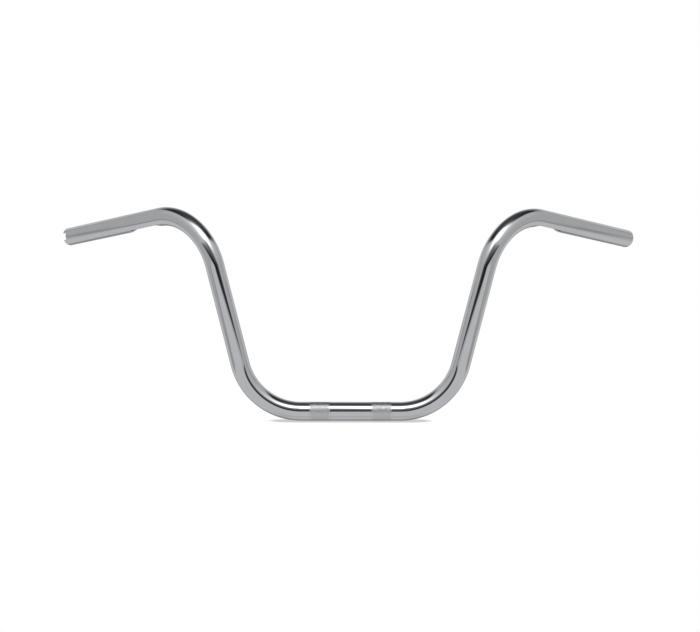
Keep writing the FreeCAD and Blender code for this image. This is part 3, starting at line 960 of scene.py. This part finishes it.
def add_ceiling(tone, aside, height):
    """The dark ceiling, whose edge comes down towards the back and ends in a pale haze."""
    beyond = above(aside, CEILING_EDGE.side) / CEILING_EDGE.reach
    edge = CEILING_EDGE.height - CEILING_EDGE.fall * beyond ** CEILING_BACK.power
    edge = np.maximum(edge, CEILING_BACK.height)
    edge += CEILING_EDGE.front_rise * above(CEILING_EDGE.side, aside)
    haze = step_up(aside, CEILING_BACK.start, CEILING_BACK.haze_fade)
    fade = CEILING_BACK.fade + CEILING_BACK.haze * haze
    near_edge = np.exp(-above(height, edge) / CEILING.edge_width)
    dark = CEILING.tone - CEILING.edge_depth * near_edge
    return tone + (dark - tone) * step_up(height, edge, fade)


def add_softbox(tone, azimuth, height):
    """The white panel in front of the bar and above it, seen flat, with a pale glow around it."""
    a, e = np.radians(azimuth), np.radians(height)
    aim = math.radians(SOFTBOX.height)
    front, up = np.cos(a) * np.cos(e), np.sin(e)
    facing = front * math.cos(aim) + up * math.sin(aim)
    seen = facing > LEAST_FACING
    facing = np.where(seen, facing, 1)
    across = np.abs(np.sin(a) * np.cos(e) / facing)
    rise = (up * math.cos(aim) - front * math.sin(aim)) / facing
    panel = (1 - step_up(across, SOFTBOX.half, SOFTBOX.fade)) * seen
    panel *= between(rise, SOFTBOX_RISE)
    gap = above(across, SOFTBOX.half) ** 2
    gap += above(SOFTBOX_RISE.start, rise) ** 2 + above(rise, SOFTBOX_RISE.end) ** 2
    glow = np.exp(-gap / SOFTBOX_GLOW.reach ** 2) * seen * (1 - panel)
    tone = tone + SOFTBOX_GLOW.tone * glow
    core = SOFTBOX.core * panel ** SOFTBOX.core_power
    return tone + (SOFTBOX.tone - tone) * panel + core


def add_doorway(tone, aside, height):
    """The dark doorway behind the camera: darkest at its foot, narrower and paler above."""
    foot = DOORWAY_FOOT.rise * (aside / DOORWAY_FOOT.reach) ** DOORWAY_FOOT.power
    foot += DOORWAY_FOOT.height
    reach = np.clip(aside / DOORWAY.half, 0, 1)
    top = DOORWAY.top * (1 - reach ** DOORWAY.top_power)
    share = (height - foot) / np.maximum(top, DOORWAY.least_top)
    paler = np.clip(share - DOORWAY_TONE.start, 0, 1) ** DOORWAY_TONE.power
    dark = DOORWAY_TONE.foot + DOORWAY_TONE.paler * paler
    shade = step_up(height, foot, DOORWAY_FOOT.fade)
    shade *= 1 - step_up(share, DOORWAY_TONE.end, DOORWAY_TONE.fade)
    shade *= 1 - step_up(aside, DOORWAY.half - 1, DOORWAY.side_fade)
    return tone + (dark - tone) * shade


def add_low_shade(tone, aside, height):
    """The shaded lower part behind the bar."""
    shade = step_up(aside, LOW_SHADE.aside, LOW_SHADE.fade) * between(height, LOW_SHADE)
    return tone + (LOW_SHADE.tone - tone) * shade


def studio_light(azimuth, height):
    """Brightness of the studio in a direction, so that the chrome shows its tone."""
    aside = np.abs(azimuth)
    tone = walls_and_table(aside, height)
    tone = add_ceiling(tone, aside, height)
    tone = add_softbox(tone, azimuth, height)
    tone = add_doorway(tone, aside, height)
    shown = above(add_low_shade(tone, aside, height), 0) / 255
    linear = np.where(shown <= 0.04045, shown / 12.92, ((shown + 0.055) / 1.055) ** 2.4)
    return linear / CHROME_SHARE


def glowing_material(name, colour_of):
    """A material that gives off an even light of the colour that colour_of makes."""
    material = bpy.data.materials.new(name)
    nodes = Nodes(material)
    glow = nodes.add("Emission", {"Color": colour_of(nodes), "Strength": 1.0})
    nodes.add("OutputMaterial", {"Surface": glow.outputs[0]})
    material.cycles.emission_sampling = "NONE"
    return material


def dome_mesh(azimuth, height):
    """A closed dome of quads around the studio's centre, through the given directions."""
    a, e = np.radians(azimuth), np.radians(height)
    points = np.stack([np.sin(a) * np.cos(e), -np.cos(a) * np.cos(e), np.sin(e)], axis=-1)
    points = STUDIO_RADIUS * points.reshape(-1, 3) + STUDIO_CENTRE
    ids = np.arange(azimuth.size).reshape(azimuth.shape)
    ids = np.concatenate([ids, ids[:, :1]], axis=1)
    quads = np.stack([ids[:-1, :-1], ids[:-1, 1:], ids[1:, 1:], ids[1:, :-1]], axis=-1)
    caps = [ids[0, :-1].tolist(), ids[-1, :-1].tolist()]
    mesh = bpy.data.meshes.new("studio")
    mesh.from_pydata(points.tolist(), [], quads.reshape(-1, 4).tolist() + caps)
    return mesh


def build_studio():
    """A dome that only reflections see: grey table and walls, dark ceiling, one large softbox."""
    across, tall = STUDIO_CELLS
    pole = 90 - 90 / tall
    azimuth, height = np.meshgrid(
        np.linspace(-180, 180, across, endpoint=False), np.linspace(-pole, pole, tall)
    )
    mesh = dome_mesh(azimuth, height)
    light = studio_light(azimuth, height)
    tones = mesh.color_attributes.new("tone", "FLOAT_COLOR", "POINT")
    tones.data.foreach_set("color", np.stack([light] * 3 + [np.ones_like(light)], axis=-1).ravel())
    mesh.materials.append(
        glowing_material("studio_light", lambda nodes: nodes.attribute("tone", "Color"))
    )
    dome = add_object("studio", mesh)
    for sight in ("camera", "diffuse", "shadow", "transmission", "volume_scatter"):
        setattr(dome, f"visible_{sight}", False)


FLOOR_HALF = 30.0
SHADOW_REACH = 0.011
SHADOW_SAMPLES = 32
SHADOW_TONE = 0.6
SHADOW_FROM, SHADOW_TO = 0.5, 0.94


def floor_tone(nodes):
    """Plain white, darkened only close to where the bar rests."""
    sky = nodes.add("AmbientOcclusion", {"Distance": SHADOW_REACH}, samples=SHADOW_SAMPLES)
    return nodes.remap(sky.outputs["AO"], SHADOW_FROM, SHADOW_TO, SHADOW_TONE, 1.0)


def build_floor(height):
    """A plain white floor, which shows a soft shadow under the bar and isn't seen in the chrome."""
    signs = [(-1, -1), (1, -1), (1, 1), (-1, 1)]
    mesh = bpy.data.meshes.new("floor")
    corners = [(x * FLOOR_HALF, y * FLOOR_HALF, height) for x, y in signs]
    mesh.from_pydata(corners, [], [(0, 1, 2, 3)])
    mesh.materials.append(glowing_material("pale_floor", floor_tone))
    floor = add_object("floor", mesh)
    floor.visible_glossy = False
    floor.visible_diffuse = False


def light_world():
    """An even white room."""
    world = bpy.data.worlds.new("white_room")
    world.use_nodes = True
    background = world.node_tree.nodes["Background"]
    background.inputs["Color"].default_value = (1, 1, 1, 1)
    background.inputs["Strength"].default_value = 1.0
    bpy.context.scene.world = world


CAMERA_PLACE = (-0.02945, -1.6726, 0.2518)
CAMERA_DOWN = math.radians(4.2)
CAMERA_ASIDE = math.radians(-0.97)
CAMERA_TILT = math.radians(0.22)
CAMERA_LENS = 64.3
CAMERA_SENSOR = 36


def place_camera():
    """The main view: from the front, a little above the bar, looking slightly down."""
    lens = bpy.data.cameras.new("camera")
    lens.sensor_width = CAMERA_SENSOR
    lens.lens = CAMERA_LENS
    camera = add_object("camera", lens)
    aim = Matrix.Rotation(CAMERA_ASIDE, 4, "Z") @ Matrix.Rotation(math.pi / 2 - CAMERA_DOWN, 4, "X")
    tilt = Matrix.Rotation(CAMERA_TILT, 4, "Z")
    camera.matrix_world = Matrix.Translation(CAMERA_PLACE) @ aim @ tilt
    bpy.context.scene.camera = camera


# ---- the object ----


def add_piece(piece, node, material):
    piece.data.materials.append(material)
    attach(piece, "root")
    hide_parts(node)


def main():
    chrome = chrome_material()
    knurled = knurl_material()
    add_piece(Tube().build(), "bar_tube", chrome)
    for side, x in (("clutch", BAND_X), ("throttle", -BAND_X)):
        band = build_band(f"{side}_side_knurl_band", x)
        add_piece(band, f"{side}_side_knurl", knurled)
    build_studio()
    build_floor(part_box("clutch_side_knurl")[0].z)
    light_world()
    place_camera()
    bpy.context.scene.view_settings.view_transform = "Standard"


main()
